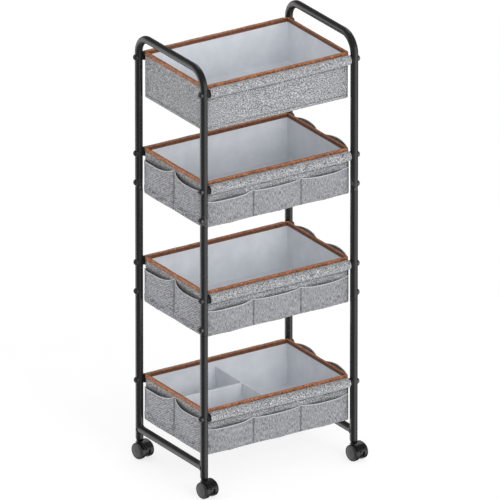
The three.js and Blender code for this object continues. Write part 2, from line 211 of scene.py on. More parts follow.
def grid_faces(rows, columns, wrap_rows=False, wrap_columns=False):
    """Quads over a grid of points stored row by row."""
    faces = []
    for i in range(rows if wrap_rows else rows - 1):
        for j in range(columns if wrap_columns else columns - 1):
            below, beside = (i + 1) % rows * columns, (j + 1) % columns
            faces.append((i * columns + j, i * columns + beside, below + beside, below + j))
    return faces


def skin(rings, wrap_rows=True):
    """(points, faces) of a surface through rings, an array of closed rows of points."""
    rings = np.asarray(rings, float)
    return rings.reshape(-1, 3), grid_faces(*rings.shape[:2], wrap_rows, True)


def slab(front, back):
    """A closed solid between two grids of points of the same size."""
    rows, columns = front.shape[:2]
    points, faces = skin(np.concatenate([front, back[:, ::-1]], 1), wrap_rows=False)
    loop = 2 * columns
    for base in (0, (rows - 1) * loop):
        for j in range(columns - 1):
            faces.append((base + j, base + j + 1, base + loop - 2 - j, base + loop - 1 - j))
    return points, faces


def rings_about(path, first, second, radius, sides):
    """A ring round each point of a path, in the plane of its own two directions."""
    turn = full_turn(sides)[None, :, None]
    spokes = np.cos(turn) * first[:, None] + np.sin(turn) * second[:, None]
    return path[:, None] + np.reshape(radius, (-1, 1, 1)) * spokes


def piece(name, parts, material, body="cart", sharp=35, weave=None, node=None):
    """One object made of closed (points, faces) parts, with coinciding points welded and faces turned out.
    weave gives each point its place on the cloth and a share of painted shade, for the material. node is the
    CAD node that it replaces."""
    points, faces, start = [], [], 0
    for part_points, part_faces in parts:
        points.append(np.asarray(part_points, float))
        faces += [tuple(start + i for i in face) for face in part_faces]
        start += len(part_points)
    mesh = bpy.data.meshes.new(name)
    mesh.from_pydata(np.concatenate(points).tolist(), [], faces)
    if weave is not None:
        layer = mesh.attributes.new("weave", "FLOAT_VECTOR", "POINT")
        layer.data.foreach_set("vector", np.asarray(weave, np.float32).ravel())
    bm = bmesh.new()
    bm.from_mesh(mesh)
    bmesh.ops.remove_doubles(bm, verts=bm.verts, dist=1e-6)
    bmesh.ops.recalc_face_normals(bm, faces=bm.faces)
    bm.to_mesh(mesh)
    bm.free()
    mesh.shade_smooth()
    mesh.set_sharp_from_angle(angle=math.radians(sharp))
    mesh.materials.append(material)
    made = bpy.data.objects.new(name, mesh)
    bpy.context.scene.collection.objects.link(made)
    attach(made, body)
    if node:
        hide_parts(node)


def softened(corners, steps=4):
    """A closed loop through corners given as (x, y, cut), each rounded off from a cut away on both sides."""
    loop = []
    for i, (x, y, cut) in enumerate(corners):
        corner = np.array((x, y), float)
        if cut == 0:
            loop.append(corner)
            continue
        arms = [np.array(corners[j % len(corners)][:2], float) - corner for j in (i - 1, i + 1)]
        start, end = [corner + arm * min(0.5, cut / np.linalg.norm(arm)) for arm in arms]
        loop += curve(start, corner, end, steps)
    return np.array(loop)


def axes_about(direction):
    """Two unit vectors square to a direction and to each other."""
    helper = UP if abs(direction[2]) < 0.9 else ALONG_X
    first = unit(np.cross(helper, direction))
    return first, np.cross(direction, first)


def lathe(profile, origin, direction, sides=48):
    """Turns (radius, along) pairs about a line. A radius may be an array with one value for each side.
    The pairs close on themselves unless they start and end on the axis."""
    direction = np.asarray(direction, float)
    spokes = circle(full_turn(sides), *axes_about(direction))
    rings = [origin + spokes * np.reshape(radius, (-1, 1)) + direction * along for radius, along in profile]
    on_axis = np.max(profile[0][0]) == 0 and np.max(profile[-1][0]) == 0
    return skin(rings, wrap_rows=not on_axis)


# ------------------------------------------------------------------ node materials
class Shader:
    """A node tree that is built from inputs that are numbers, tuples or other nodes' outputs."""

    def __init__(self, name, kind="materials"):
        self.owner = getattr(bpy.data, kind).new(name)
        self.owner.use_nodes = True
        self.tree = self.owner.node_tree
        self.tree.nodes.clear()

    def fill(self, socket, value):
        """Links an output to a node's input, or sets the input's value. A colour gets its alpha here."""
        if isinstance(value, bpy.types.NodeSocket):
            self.tree.links.new(value, socket)
        else:
            socket.default_value = (*value, 1.0) if socket.type == "RGBA" else value

    def node(self, kind, *inputs, out=0, **settings):
        """Adds a node. inputs fill its sockets in order, or by name or index when given as a dict."""
        made = self.tree.nodes.new("ShaderNode" + kind)
        for key, value in settings.items():
            setattr(made, key, value)
        given = inputs[0] if inputs and isinstance(inputs[0], dict) else dict(enumerate(inputs))
        for key, value in given.items():
            self.fill(made.inputs[key], value)
        return made.outputs[out] if made.outputs else made

    def place(self):
        return self.node("TexCoord", out="Object")

    def weave(self):
        return self.node("Attribute", out="Vector", attribute_name="weave")

    def depth(self):
        """The weave attribute's last number: a share of painted shade, for seams, pressed lines and the
        binding's inner face.
        """
        return self.node("SeparateXYZ", self.weave(), out=2)

    def noise(self, where, scale, detail=3.0, rough=0.55):
        return self.node(
            "TexNoise", {"Vector": where, "Scale": scale, "Detail": detail, "Roughness": rough}, out="Fac"
        )

    def yarn(self, where, scale, detail=2.0, rough=0.55):
        """Noise with its own scale along each axis."""
        return self.noise(self.node("Mapping", {"Vector": where, "Scale": scale}), 1.0, detail, rough)

    def bent(self, where, scale, amount):
        """A place that drifts a little, so that a pattern on it is never quite straight."""
        drift = self.node("TexNoise", {"Vector": where, "Scale": scale, "Detail": 2.0}, out="Color")
        return self.mix(amount, where, drift, "ADD")

    def ramp(self, value, *stops):
        """A colour ramp. Each stop is (position, colour)."""
        out = self.node("ValToRGB", value)
        elements = out.node.color_ramp.elements
        for index, (position, colour) in enumerate(stops):
            stop = elements[index] if index < 2 else elements.new(position)
            stop.position = position
            stop.color = (*colour, 1.0)
        return out

    def spread(self, value, low, high, to_low=0.0, to_high=1.0):
        return self.node("MapRange", value, low, high, to_low, to_high)

    def math(self, operation, *values):
        return self.node("Math", *values, operation=operation)

    def times(self, first, second):
        return self.math("MULTIPLY", first, second)

    def plus(self, first, second):
        return self.math("ADD", first, second)

    def mix(self, share, first, second, blend="MIX"):
        return self.node("Mix", {0: share, 6: first, 7: second}, out=2, data_type="RGBA", blend_type=blend)

    def choose(self, share, first, second):
        """A number that goes from first to second with share."""
        return self.node("Mix", {0: share, 2: first, 3: second}, data_type="FLOAT")

    def edges(self, low, high, most=1.0):
        """A share for worn outer edges."""
        return self.spread(self.node("NewGeometry", out="Pointiness"), low, high, 0.0, most)

    def occlusion_shade(self, reach, deepest):
        """A share of painted shade for places that others hem in, from ambient occlusion: none in the open,
        deepest in a slit.
        """
        openness = self.node("AmbientOcclusion", {"Distance": reach}, out="AO", samples=16)
        return self.spread(openness, 0.2, 0.85, deepest, 0.0)

    def bump(self, height, distance, strength):
        return self.node("Bump", {"Height": height, "Distance": distance, "Strength": strength})

    def surface(self, **inputs):
        """Ends the tree with a principled surface, whose inputs are named in lower case."""
        out = self.node("BsdfPrincipled")
        sockets = {socket.name.lower().replace(" ", "_"): socket for socket in out.node.inputs}
        for name, value in inputs.items():
            self.fill(sockets[name], value)
        self.node("OutputMaterial", out)
        return self.owner


def grey(value, tint=(1.0, 1.0, 1.0)):
    return tuple(value * share for share in tint)


def powder_coat():
    s = Shader("black_powder_coat")
    place = s.place()
    blotch = s.noise(place, 35.0, 4.0)
    peel = s.noise(place, 1300.0, 2.0)
    dust = s.noise(place, 160.0, 6.0, 0.7)
    wear = s.times(s.edges(0.53, 0.6), s.spread(dust, 0.5, 0.62))
    paint = s.ramp(blotch, (0.3, grey(0.012)), (0.7, grey(0.017, (0.97, 1.0, 1.0))))
    return s.surface(
        base_color=s.mix(wear, paint, grey(0.16, (1.0, 0.97, 0.93))),
        roughness=s.plus(s.spread(dust, 0.3, 0.7, 0.24, 0.3), s.times(wear, 0.2)),
        normal=s.bump(peel, 0.05 * MM, 0.35), coat_weight=0.12, coat_roughness=0.2,
    )


def black_oxide():
    s = Shader("black_oxide")
    grain = s.noise(s.place(), 900.0, 4.0)
    worn = s.times(s.edges(0.52, 0.58), s.spread(grain, 0.42, 0.6))
    return s.surface(
        base_color=s.mix(worn, grey(0.05), grey(0.25)), roughness=s.spread(grain, 0.3, 0.7, 0.28, 0.42),
        metallic=0.75, normal=s.bump(grain, 0.03 * MM, 0.4),
    )


def zinc():
    s = Shader("zinc_plate")
    swirl = s.yarn(s.place(), (400.0, 400.0, 60.0), 4.0)
    colour = s.ramp(swirl, (0.3, grey(0.42)), (0.7, grey(0.6, (1.0, 0.99, 0.95))))
    return s.surface(base_color=colour, metallic=1.0, roughness=s.spread(swirl, 0.3, 0.7, 0.22, 0.38))


def moulded(name, shade, rough, speck=0.004, gloss=0.5):
    """Black plastic with a fine moulded texture and a few pale scuffs."""
    s = Shader(name)
    place = s.place()
    fine = s.noise(place, 2200.0, 3.0)
    cloud = s.noise(place, 90.0, 4.0)
    scuff = s.spread(s.yarn(place, (900.0, 120.0, 500.0), 5.0, 0.7), 0.66, 0.74)
    base = s.ramp(cloud, (0.3, grey(shade)), (0.7, grey(shade + speck)))
    pale = s.math("MAXIMUM", s.times(scuff, 0.35), s.edges(0.53, 0.6, 0.5))
    matt = s.spread(fine, 0.3, 0.7, rough - 0.04, rough + 0.06)
    return s.surface(
        base_color=s.mix(pale, base, grey(shade * 4 + 0.02)), roughness=s.plus(matt, s.times(scuff, 0.15)),
        normal=s.bump(fine, 0.03 * MM, 0.5), specular_ior_level=gloss,
    )


def felt():
    """Mottled salt-and-pepper felt: clumps of dark and pale wool under a layer of crossing fibres, with
    painted shade in its pressed lines and hemmed-in places.
    """
    s = Shader("grey_felt")
    bent = s.bent(s.place(), 260.0, 0.0018)
    clump = s.noise(bent, 400.0, 4.0, 0.75)
    speck = s.noise(bent, 760.0, 3.0, 0.6)
    fibres = s.math("MAXIMUM", s.yarn(bent, (5200.0, 5200.0, 900.0)), s.yarn(bent, (900.0, 900.0, 5200.0)))
    wool = s.plus(s.times(clump, 0.62), s.times(speck, 0.38))
    cool = (1.0, 1.01, 1.05)
    base = s.ramp(
        wool, (0.41, grey(0.01, (1.0, 1.02, 1.08))), (0.465, grey(0.125, cool)), (0.53, grey(0.4, cool)),
        (0.59, grey(0.82, cool)),
    )
    haired = s.mix(s.spread(fibres, 0.52, 0.74, 0.0, 0.3), base, grey(0.6, (1.0, 1.01, 1.03)))
    # painted shade: the felt darkens along its pressed lines
    crease_shaded = s.mix(s.times(s.depth(), 0.8), haired, grey(0.03))
    height = s.plus(s.times(clump, 0.7), s.times(fibres, 0.5))
    # painted shade: the felt darkens where other surfaces hem it in
    return s.surface(
        base_color=s.mix(s.occlusion_shade(24 * MM, 0.75), crease_shaded, grey(0.02)), roughness=0.95,
        normal=s.bump(height, 0.9 * MM, 0.6), sheen_weight=0.25, sheen_roughness=0.6,
        specular_ior_level=0.15,
    )


def pocket_cloth(name, tint, pale, dark, pattern):
    """Woven pocket cloth. pattern(shader, place) gives its light and dark yarns as a value about 0.5.
    The weave attribute holds the place on the cloth, and lastly a share of painted shade at the seams."""
    s = Shader(name)
    bent = s.bent(s.weave(), 90.0, 0.004)
    tone = pattern(s, bent)
    nap = s.noise(bent, 1600.0, 2.0)
    cloud = s.noise(s.place(), 25.0, 3.0)
    base = s.ramp(tone, (0.36, grey(dark, tint)), (0.64, grey(pale, tint)))
    napped = s.mix(s.spread(nap, 0.35, 0.65, 0.0, 0.3), base, grey(0.5 * (pale + dark), tint))
    faded = s.mix(s.spread(cloud, 0.35, 0.7, 0.0, 0.1), napped, grey(pale, tint))
    # painted shade: the cloth darkens along its seams
    crease_shaded = s.mix(s.times(s.depth(), 0.6), faded, grey(dark * 0.25, tint))
    # painted shade: the cloth darkens where other surfaces hem it in
    return s.surface(
        base_color=s.mix(s.occlusion_shade(12 * MM, 0.6), crease_shaded, grey(dark * 0.35, tint)), roughness=0.88,
        normal=s.bump(s.plus(tone, s.times(nap, 0.5)), 0.4 * MM, 0.7), sheen_weight=0.15,
        sheen_roughness=0.5, specular_ior_level=0.2,
    )


def slubs(s, place):
    """Uneven upright yarns."""
    long_yarn = s.yarn(place, (560.0, 130.0, 1.0), 2.0, 0.6)
    short_yarn = s.yarn(place, (1000.0, 300.0, 1.0), 2.0, 0.6)
    return s.plus(s.times(long_yarn, 0.6), s.times(short_yarn, 0.4))


def checks(s, place):
    """A fine diagonal check of crossing yarns."""
    across, up, _ = s.node("SeparateXYZ", place).node.outputs
    across = s.times(across, 2 * math.pi / CHECK_WIDTH)
    up = s.times(up, 2 * math.pi / CHECK_HEIGHT)
    rising, falling = [s.math("SINE", s.math(operation, across, up)) for operation in ("ADD", "SUBTRACT")]
    uneven = s.yarn(place, (150.0, 230.0, 1.0), 4.0, 0.75)
    return s.plus(s.times(s.plus(rising, falling), 0.06), uneven)


def lining():
    """Smooth pale blue-grey lining cloth with a fine embossed grid."""
    s = Shader("lining_cloth")
    place = s.place()
    cloud = s.noise(place, 30.0, 4.0)
    nap = s.noise(place, 1500.0, 3.0)
    dots = s.node("TexVoronoi", {"Vector": place, "Scale": 620.0}, out="Distance")
    base = s.ramp(cloud, (0.3, grey(0.72, (0.95, 0.99, 1.05))), (0.7, grey(0.82, (0.96, 1.0, 1.05))))
    return s.surface(
        base_color=s.mix(s.spread(nap, 0.35, 0.65, 0.0, 0.3), base, grey(0.9, (0.98, 1.0, 1.02))),
        roughness=0.85, normal=s.bump(s.plus(dots, nap), 0.12 * MM, 0.5), sheen_weight=0.15,
        specular_ior_level=0.25,
    )


def binding_leather():
    """Orange-brown imitation leather: pebbled grain, creases, and rubbed edges, with painted shade on its
    inner face.
    """
    s = Shader("brown_binding")
    place = s.place()
    pebble = s.node("TexVoronoi", {"Vector": place, "Scale": 850.0, "Randomness": 0.9}, out="Distance")
    crease = s.yarn(place, (340.0, 340.0, 460.0), 5.0, 0.7)
    cloud = s.noise(place, 150.0, 4.0, 0.65)
    base = s.ramp(cloud, (0.36, (0.22, 0.068, 0.026)), (0.5, (0.44, 0.16, 0.066)), (0.64, (0.66, 0.3, 0.15)))
    dark = (0.1, 0.03, 0.012)
    lined = s.mix(s.spread(crease, 0.53, 0.43, 0.0, 0.85), base, dark)
    rubbed = s.mix(s.edges(0.505, 0.56, 0.6), lined, (0.6, 0.28, 0.15))
    height = s.math("SUBTRACT", s.times(crease, 0.8), s.times(pebble, 0.9))
    # painted shade: the binding's inner face is darkened
    return s.surface(
        base_color=s.mix(s.times(s.depth(), 0.72), rubbed, dark), normal=s.bump(height, 0.2 * MM, 0.7),
        roughness=s.spread(cloud, 0.3, 0.7, 0.5, 0.62), specular_ior_level=0.4,
    )


def thread(name, shade, tint):
    """Twisted sewing thread."""
    s = Shader(name)
    wave = {"Vector": s.place(), "Scale": 900.0, "Distortion": 2.0}
    twist = s.node("TexWave", wave, out="Fac", bands_direction="DIAGONAL")
    colour = s.ramp(twist, (0.2, grey(shade * 0.6, tint)), (0.8, grey(shade, tint)))
    normal = s.bump(twist, 0.08 * MM, 0.6)
    return s.surface(base_color=colour, roughness=0.7, normal=normal, sheen_weight=0.2)


POWDER_COAT = powder_coat()
BLACK_OXIDE = black_oxide()
ZINC = zinc()
NYLON = moulded("black_nylon", shade=0.005, rough=0.2)
HUB_PLASTIC = moulded("hub_plastic", shade=0.009, rough=0.2)
TYRE_PLASTIC = moulded("tyre_plastic", shade=0.006, rough=0.22)
FELT_CLOTH = felt()
FRONT_CLOTH = pocket_cloth("front_pocket_linen", (0.985, 0.99, 1.045), pale=0.54, dark=0.05, pattern=slubs)
SIDE_CLOTH = pocket_cloth("side_pocket_cloth", (0.985, 0.99, 1.05), pale=0.58, dark=0.062, pattern=checks)
LINING = lining()
BINDING = binding_leather()
GREY_THREAD = thread("grey_thread", 0.35, (0.95, 0.97, 1.0))
DARK_THREAD = thread("dark_thread", 0.12, (0.95, 0.97, 1.05))
BROWN_THREAD = thread("brown_thread", 0.3, (1.0, 0.5, 0.28))
PIPING = thread("piping_cord", 0.8, (0.97, 0.98, 1.02))
COLLAR_PLASTIC = moulded("collar_plastic", shade=0.004, rough=0.5, speck=0.002, gloss=0.15)


# ------------------------------------------------------------------ places taken from the frame
def middle(node):
    low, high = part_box(node)
    return (low + high) / 2


POST_X = {side: middle(f"front_{side}_post").x for side in SIDES}
POST_Y = {end: middle(f"{end}_left_post").y for end in ENDS}
CENTRE_X = (POST_X["left"] + POST_X["right"]) / 2
CENTRE_Y = (POST_Y["front"] + POST_Y["back"]) / 2
RAIL_Z = {tier: middle(f"rail_{tier}_front").z for tier in TIERS}
ARCH_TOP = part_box("left_arch")[1].z
UPPER_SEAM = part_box("left_arch")[0].z
LOWER_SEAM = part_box("front_left_post")[0].z
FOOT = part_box("left_base_frame")[0].z
SPIGOT_TOP = {"upper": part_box("front_left_post")[1].z, "lower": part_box("left_base_frame")[1].z}
AIM = np.array((CENTRE_X + 5.9 * MM, CENTRE_Y - 3.8 * MM, 455 * MM))


# ------------------------------------------------------------------ tube frame
def arch(side):
    """A bent tube with open ends: up the back post, over the top and down the front post."""
    bar_z = ARCH_TOP - TUBE_R
    turns = np.linspace(0, math.pi / 2, 25)
    half = POST_Y["back"] - CENTRE_Y
    rise = [(half, z, 0.0) for z in np.linspace(UPPER_SEAM, bar_z - BEND_R, 12)[:-1]]
    bend = [(half - BEND_R * (1 - math.cos(t)), bar_z - BEND_R * (1 - math.sin(t)), t) for t in turns]
    flat = [(y, bar_z, math.pi / 2) for y in np.linspace(half - BEND_R, 0, 8)[1:]]
    back = rise + bend + flat
    path = back + [(-y, z, math.pi - t) for y, z, t in reversed(back[:-1])]
    lip = 0.4 * MM
    radii = [TUBE_R - lip] + [TUBE_R] * (len(path) - 2) + [TUBE_R - lip] + [BORE_R] * len(path)
    rings = []
    for (y, z, t), radius in zip(path + path[::-1], radii):
        tangent = np.array((0, -math.sin(t), math.cos(t)))
        spokes = circle(full_turn(48), ALONG_X, np.cross(tangent, ALONG_X))
        rings.append((POST_X[side], CENTRE_Y + y, z) + radius * spokes)
    piece(f"{side}_arch_tube", [skin(rings)], POWDER_COAT, node=f"{side}_arch")


def spigot_tube(x, y, foot, shoulder, top):
    """A round tube whose upper end is swaged down to plug into the tube above it."""
    lip = 0.5 * MM
    near = 3 * MM
    profile = [
        (TUBE_R - lip, foot), (TUBE_R, foot + lip), (TUBE_R, foot + near), (TUBE_R, shoulder - near),
        (TUBE_R, shoulder - 2 * lip), (TUBE_R - lip, shoulder - lip / 2), (SPIGOT_R, shoulder),
        (SPIGOT_R, shoulder + near), (SPIGOT_R, top - near), (SPIGOT_R, top - lip), (SPIGOT_R - lip, top),
        (SPIGOT_BORE_R, top), (SPIGOT_BORE_R, shoulder - 2 * MM), (BORE_R, shoulder - 4 * MM),
        (BORE_R, foot),
    ]
    return lathe(profile, (x, y, 0), UP)


def cope(angle):
    """How far back a bar's end is cut, round its edge, to fit against a post of its own size."""
    return np.sqrt(TUBE_R**2 - (TUBE_R * np.cos(angle)) ** 2)


def side_bar(x):
    """The bar between the feet of a side frame, its ends coped to fit round the posts."""
    angle = full_turn(48)
    reach = POST_Y["back"] - CENTRE_Y - cope(angle)
    rings = []
    around = ((TUBE_R, -1), (TUBE_R, -0.9), (TUBE_R, 0.9), (TUBE_R, 1), (BORE_R, 1), (BORE_R, -1))
    for radius, share in around:
        y = CENTRE_Y + share * reach
        rings.append(np.stack([x + radius * np.cos(angle), y, SIDE_BAR_Z + radius * np.sin(angle)], 1))
    return skin(rings)


def weld_bead(x, end):
    """The rippled fillet of weld round the end of a side bar."""
    angle = full_turn(160)
    out = circle(angle, ALONG_X, UP)
    path = TUBE_R * out + (x, 0, SIDE_BAR_Z)
    path[:, 1] = POST_Y[end] - ENDS[end] * cope(angle)
    tangent = unit(np.roll(path, -1, 0) - np.roll(path, 1, 0))
    radius = WELD_R * (1 + 0.12 * np.sin(angle * 26) + 0.08 * np.sin(angle * 11 + 1))
    return skin(rings_about(path, out, np.cross(tangent, out), radius, 10))


def saddle(post_x, sign, y, z, rows, gap, sides):
    """A ring that stands on a post. rows holds (radius, distance from the post's axis), where a distance of
    None follows the tube with a gap."""
    angle = full_turn(sides)
    rings = []
    for radius, away in rows:
        across = radius * np.cos(angle)
        if away is None:
            away = np.sqrt((TUBE_R + gap) ** 2 - np.minimum(np.abs(across), TUBE_R - 0.6 * MM) ** 2)
        x = np.broadcast_to(post_x + sign * away, angle.shape)
        rings.append(np.stack([x, y + across, z + radius * np.sin(angle)], 1))
    return skin(rings)


def rail(tier, end):
    """A rail tube with a plug in each end, and a moulded collar between each end and its post."""
    node = f"rail_{tier}_{end}"
    low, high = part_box(node)
    half = (high.x - low.x) / 2
    lip = 0.4 * MM
    profile = mirrored([
        (BORE_R, half - RAIL_PLUG), (RAIL_HOLE_R, half - RAIL_PLUG), (RAIL_HOLE_R, half),
        (TUBE_R - lip, half), (TUBE_R, half - lip), (TUBE_R, half - 3 * MM),
    ])
    origin = ((low.x + high.x) / 2, POST_Y[end], RAIL_Z[tier])
    piece(f"{node}_tube", [lathe(profile, origin, ALONG_X)], POWDER_COAT, node=node)
    rim, bore, outer_face = 0.5 * MM, TUBE_R + 0.05 * MM, TUBE_R + COLLAR_LENGTH
    rows = (
        (COLLAR_R, None), (COLLAR_R, outer_face - rim), (COLLAR_R - rim, outer_face), (bore, outer_face),
        (bore, None),
    )
    for side, sign in SIDES.items():
        collar = saddle(POST_X[side], -sign, POST_Y[end], RAIL_Z[tier], rows, 0.1 * MM, 48)
        piece(f"rail_collar_{tier}_{end}_{side}", [collar], COLLAR_PLASTIC)


def bolt(name, side, y, z, length, node=None):
    """A button-head bolt with a hexagon socket, on a washer that is hollowed to sit on the post."""
    sign = SIDES[side]
    sector = math.pi / 3
    hexagon = HEX_R / np.cos((full_turn(48) + sector / 2) % sector - sector / 2)
    turns = np.linspace(0, 1.0, 7)
    height = BOLT_HEAD_H - BOLT_RIM
    dome = [(BOLT_HEAD_R * math.cos(t), BOLT_RIM + height * math.sin(t)) for t in turns]
    top = dome[-1][1]
    profile = [
        (0.0, -length), (BOLT_R - 0.6 * MM, -length), (BOLT_R, 0.6 * MM - length), (BOLT_R, 0.0),
        (BOLT_HEAD_R, 0.0), *dome, (hexagon + 0.35 * MM, top + 0.05 * MM), (hexagon, top - 0.25 * MM),
        (hexagon, top - 2.2 * MM), (0.0, top - 2.8 * MM),
    ]
    seat = (POST_X[side] + sign * (TUBE_R + 0.5 * MM), y, z)
    head = lathe(profile, seat, (sign, 0.0, 0.0))
    bore, face = BOLT_R + 0.2 * MM, TUBE_R + 0.45 * MM
    rows = ((WASHER_R, None), (WASHER_R, face), (bore, face), (bore, None))
    washer = saddle(POST_X[side], sign, y, z, rows, 0.02 * MM, 40)
    piece(name, [head, washer], BLACK_OXIDE, node=node)


def tube_frame():
    for side, x in POST_X.items():
        arch(side)
        posts = [spigot_tube(x, y, FOOT, LOWER_SEAM, SPIGOT_TOP["lower"]) for y in POST_Y.values()]
        welds = [weld_bead(x, end) for end in ENDS]
        piece(f"{side}_base_tubes", [*posts, side_bar(x), *welds], POWDER_COAT, node=f"{side}_base_frame")
        for end, y in POST_Y.items():
            node = f"{end}_{side}_post"
            tube = spigot_tube(x, y, LOWER_SEAM, UPPER_SEAM, SPIGOT_TOP["upper"])
            piece(f"{node}_tube", [tube], POWDER_COAT, node=node)
            for seam, foot in (("upper", UPPER_SEAM), ("lower", LOWER_SEAM)):
                bolt(f"joint_bolt_{seam}_{end}_{side}", side, y, foot + SEAM_TO_BOLT, JOINT_BOLT_LENGTH)
            for tier in TIERS:
                node = f"bolt_{tier}_{end}_{side}"
                bolt(f"rail_{node}", side, y, RAIL_Z[tier], RAIL_BOLT_LENGTH, node)
    for tier in TIERS:
        for end in ENDS:
            rail(tier, end)


# ------------------------------------------------------------------ casters
def arc_block(origin, axle, ahead, inner, outer, half_width, start, end, cut):
    """A solid that is a rounded rectangle across and bends round the axle from one angle to another."""
    section = softened(mirrored([(inner, half_width, cut), (outer, half_width, cut)]), 3)
    rings = []
    for t in np.linspace(start, end, 26):
        spoke = math.cos(t) * ahead + math.sin(t) * UP
        rings.append([origin + radius * spoke + along * axle for radius, along in section])
    points, faces = skin(rings, wrap_rows=False)
    count = len(section)
    return points, faces + [tuple(range(count)), tuple(range(len(points) - count, len(points)))]


def wheel(name, hub, outward):
    """A wheel: a hard tread with rounded shoulders, and a domed disc that covers its outer side."""
    face = WHEEL_WIDTH / 2
    r = WHEEL_R
    tread = softened([
        (r - 4.5 * MM, -face, 0.4 * MM), (r, -face, 1.2 * MM), (r, face, 2.6 * MM),
        (r - 2.9 * MM, face, 0.5 * MM), (r - 2.9 * MM, face - 1.2 * MM, 0),
        (r - 4.5 * MM, face - 1.2 * MM, 0),
    ])
    disc_r = r - 2.8 * MM
    turns = np.linspace(0.1, math.pi / 2, 14)
    dome = [(disc_r * math.cos(t), face - 0.5 * MM + 1.6 * MM * math.sin(t)) for t in turns]
    top = dome[-1][1]
    disc = [
        (0.0, face - HUB_SKIN), (3.05 * MM, face - HUB_SKIN), (3.05 * MM, -face + 0.3 * MM),
        (4.6 * MM, -face + 0.3 * MM), (5.0 * MM, -face + 1.5 * MM), (r - 4.6 * MM, -face + 1.5 * MM),
        (r - 4.6 * MM, face - 1.1 * MM), (disc_r, face - 1.1 * MM),
        *[point for point in dome if point[0] > 4 * MM], (3.6 * MM, top - 0.05 * MM),
        (3.3 * MM, top - 0.5 * MM), (3.0 * MM, top + 0.02 * MM), (0.0, top + 0.15 * MM),
    ]
    piece(f"{name}_tread", [lathe(tread, hub, outward, 64)], TYRE_PLASTIC, name)
    piece(f"{name}_disc", [lathe(disc, hub, outward, 64)], HUB_PLASTIC, name, node=name)


def caster(end, side):
    key = f"{end}_{side}"
    joints = {joint["name"]: joint for joint in frame["joints"]}
    pivot = np.array(joints[f"swivel_{key}"]["pos_m"]) * (1, 1, 0)
    axle = np.array(joints[f"roll_{key}_left"]["axis"])
    hubs = {w: np.array(joints[f"roll_{key}_{w}"]["pos_m"]) for w in SIDES}
    for w, sign in SIDES.items():
        wheel(f"wheel_{key}_{w}", hubs[w], sign * axle)
    origin = (hubs["left"] + hubs["right"]) / 2
    hub_half = np.linalg.norm(hubs["left"] - hubs["right"]) / 2
    web_half = hub_half - WHEEL_WIDTH / 2 - 0.8 * MM
    ahead = np.cross(UP, axle)
    ahead = -ahead if np.dot(ahead, pivot - origin) > 0 else ahead

    def block(inner, outer, half_width, front, cut):
        return arc_block(origin, axle, ahead, inner, outer, half_width, front, HOOD_BACK, cut)

    tread = WHEEL_R + 1.0 * MM
    hood = block(tread, tread + 1.5 * MM, hub_half + 1.5 * MM, HOOD_FRONT, 0.6 * MM)
    bridge = block(9 * MM, tread + 0.8 * MM, web_half, WEB_FRONT, 0.8 * MM)
    web = softened(mirrored([
        (0.1 * MM, web_half - 1 * MM, 0), (9 * MM, web_half - 1 * MM, 1 * MM), (11 * MM, web_half, 1 * MM),
        (WHEEL_R - 3 * MM, web_half, 1 * MM),
    ]))
    boss_top, wheels_top, boss_r = FOOT - 0.8 * MM, 2 * WHEEL_R + 0.8 * MM, 6.6 * MM
    across = np.abs(circle(full_turn(48), *axes_about(UP)) @ axle)
    flat = np.minimum(boss_r, web_half / np.maximum(across, 0.1))
    boss = [
        (0.0, 12 * MM), (0.9 * flat, 12 * MM), (flat, 13 * MM), (flat, wheels_top - 0.5 * MM),
        (boss_r, wheels_top), (boss_r, boss_top - 0.8 * MM), (5.9 * MM, boss_top), (4.3 * MM, boss_top),
        (4.3 * MM, STEM_FOOT), (0.0, STEM_FOOT),
    ]
    parts = [hood, bridge, lathe(web, origin, axle, 56), lathe(boss, pivot, UP)]
    piece(f"caster_housing_{key}", parts, NYLON, f"caster_{key}", node=f"caster_body_{key}")
    reach = hub_half + WHEEL_WIDTH / 2 - HUB_SKIN - 0.3 * MM
    pin = mirrored([(0.0, reach), (2.0 * MM, reach), (2.4 * MM, reach - 0.4 * MM)])
    piece(f"axle_pin_{key}", [lathe(pin, origin, axle, 24)], ZINC, f"caster_{key}", node=f"axle_{key}")
    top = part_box(f"stem_{key}")[1].z
    stem = [
        (0.0, STEM_FOOT + 0.4 * MM), (3.6 * MM, STEM_FOOT + 0.4 * MM), (4.0 * MM, STEM_FOOT + 0.8 * MM),
        (4.0 * MM, FOOT + 0.5 * MM), (6.4 * MM, FOOT + 0.5 * MM), (6.4 * MM, FOOT + 14 * MM),
        (4.0 * MM, FOOT + 16 * MM), (4.0 * MM, top - 1 * MM), (3.2 * MM, top), (0.0, top),
    ]
    piece(f"stem_pin_{key}", [lathe(stem, pivot, UP, 32)], ZINC, node=f"stem_{key}")


# ------------------------------------------------------------------ cloth helpers
# Each wall's direction along it and out of it, and how far its face is from the bin's middle.
WALLS = {
    "front": (ALONG_X, -ALONG_Y, BIN_HALF_Y),
    "right": (ALONG_Y, ALONG_X, BIN_HALF_X),
    "back": (-ALONG_X, ALONG_Y, BIN_HALF_Y),
    "left": (-ALONG_Y, -ALONG_X, BIN_HALF_X),
}


def turned(wall, local):
    """World directions from those given as (along the wall, out of it, up)."""
    along, out, _ = WALLS[wall]
    return local[..., 0:1] * along + local[..., 1:2] * out + local[..., 2:3] * UP


def on_wall(wall, tier, local):
    """World points from places given as (along the wall, out of it, above the rail's axis)."""
    _, out, reach = WALLS[wall]
    return np.array((CENTRE_X, CENTRE_Y, RAIL_Z[tier])) + reach * out + turned(wall, local)


